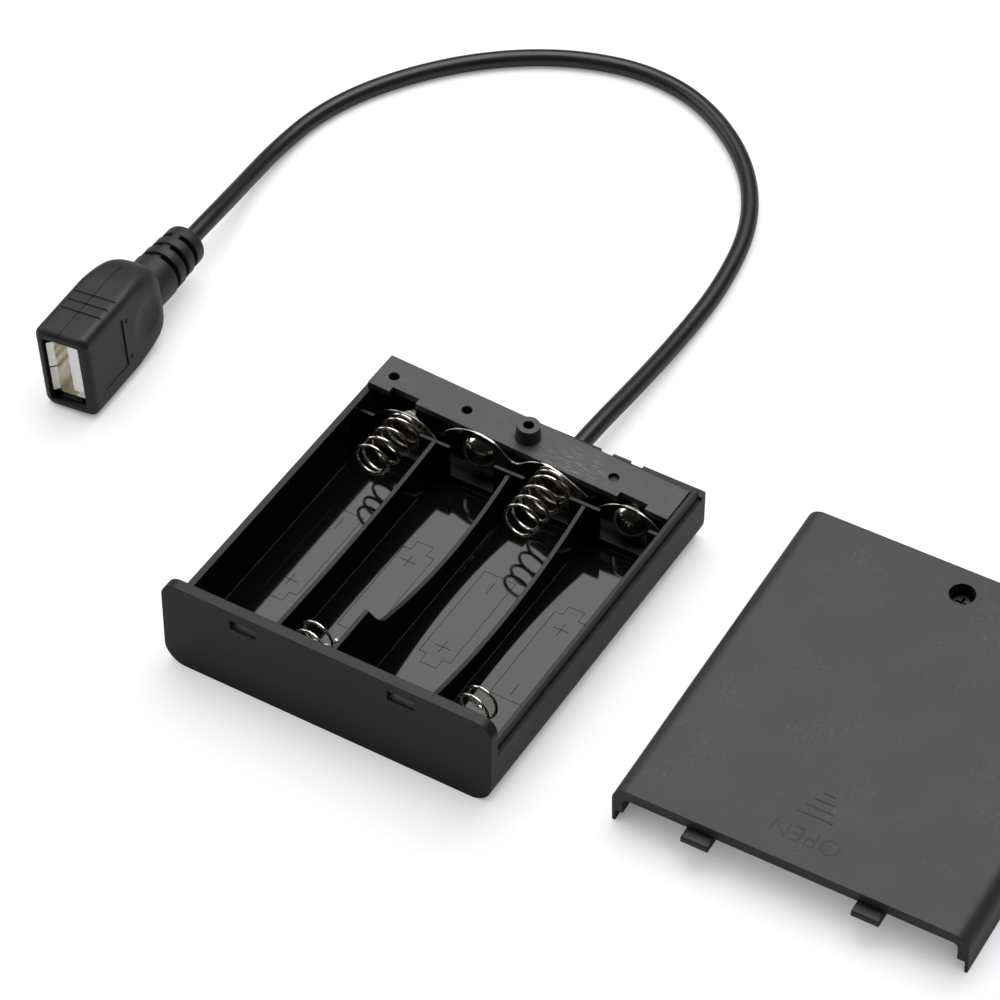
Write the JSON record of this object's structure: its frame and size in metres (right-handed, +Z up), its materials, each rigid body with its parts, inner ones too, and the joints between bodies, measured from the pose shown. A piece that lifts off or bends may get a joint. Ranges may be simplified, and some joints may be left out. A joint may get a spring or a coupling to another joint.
{
  "type": "usb battery box",
  "caption": "Open battery box for round cells with a lid beside it, a slide switch, and a lead that ends in a USB socket.",
  "frame": {"origin": "centre of the tray's underside, on the table", "axes": "+X to the right along the row of bays, +Y from the tall end plate to the wiring compartment, +Z up"},
  "size_m": [0.2056, 0.1795, 0.0188],
  "materials": {
    "case_plastic": "fine texture outside, polished inside",
    "cover_plastic": "fine texture",
    "contact_nickel": "bright nickel plate",
    "spring_wire": "bright nickel plate",
    "solder": "bright, frozen",
    "screw_black": "blackened steel",
    "cord_jacket": "satin",
    "lead_red": "satin",
    "lead_black": "satin",
    "switch_plastic": "satin",
    "terminal_metal": "tinned",
    "socket_plastic": "satin",
    "socket_steel": "bright plated sheet",
    "tongue_plastic": "white",
    "pin_gold": "thin gold plate"
  },
  "bodies": {
    "box": {"tray": "case_plastic", "compartment_deck": "cover_plastic", "lid": "cover_plastic", "lid_screw": "screw_black", "rear_contact_negative": "contact_nickel", "rear_contact_bridge": "contact_nickel", "rear_contact_positive": "contact_nickel", "front_contact_left": "contact_nickel", "front_contact_right": "contact_nickel", "cell_spring_1": "spring_wire", "cell_spring_2": "spring_wire", "cell_spring_3": "spring_wire", "cell_spring_4": "spring_wire", "solder_negative": "solder", "solder_positive": "solder", "cord": "cord_jacket", "lead_negative": "lead_black", "lead_supply": "lead_red", "lead_output": "lead_red", "switch_body": "switch_plastic", "switch_terminals": "terminal_metal", "socket_housing": "socket_plastic", "socket_shell": "socket_steel", "socket_tongue": "tongue_plastic", "socket_pins": "pin_gold"},
    "knob": {"switch_knob": "switch_plastic"}
  },
  "joints": [
    {"name": "switch_slide", "type": "slide", "parent": "box", "child": "knob", "axis": [1, 0, 0], "range_m": [-0.002, 0.002]}
  ]
}
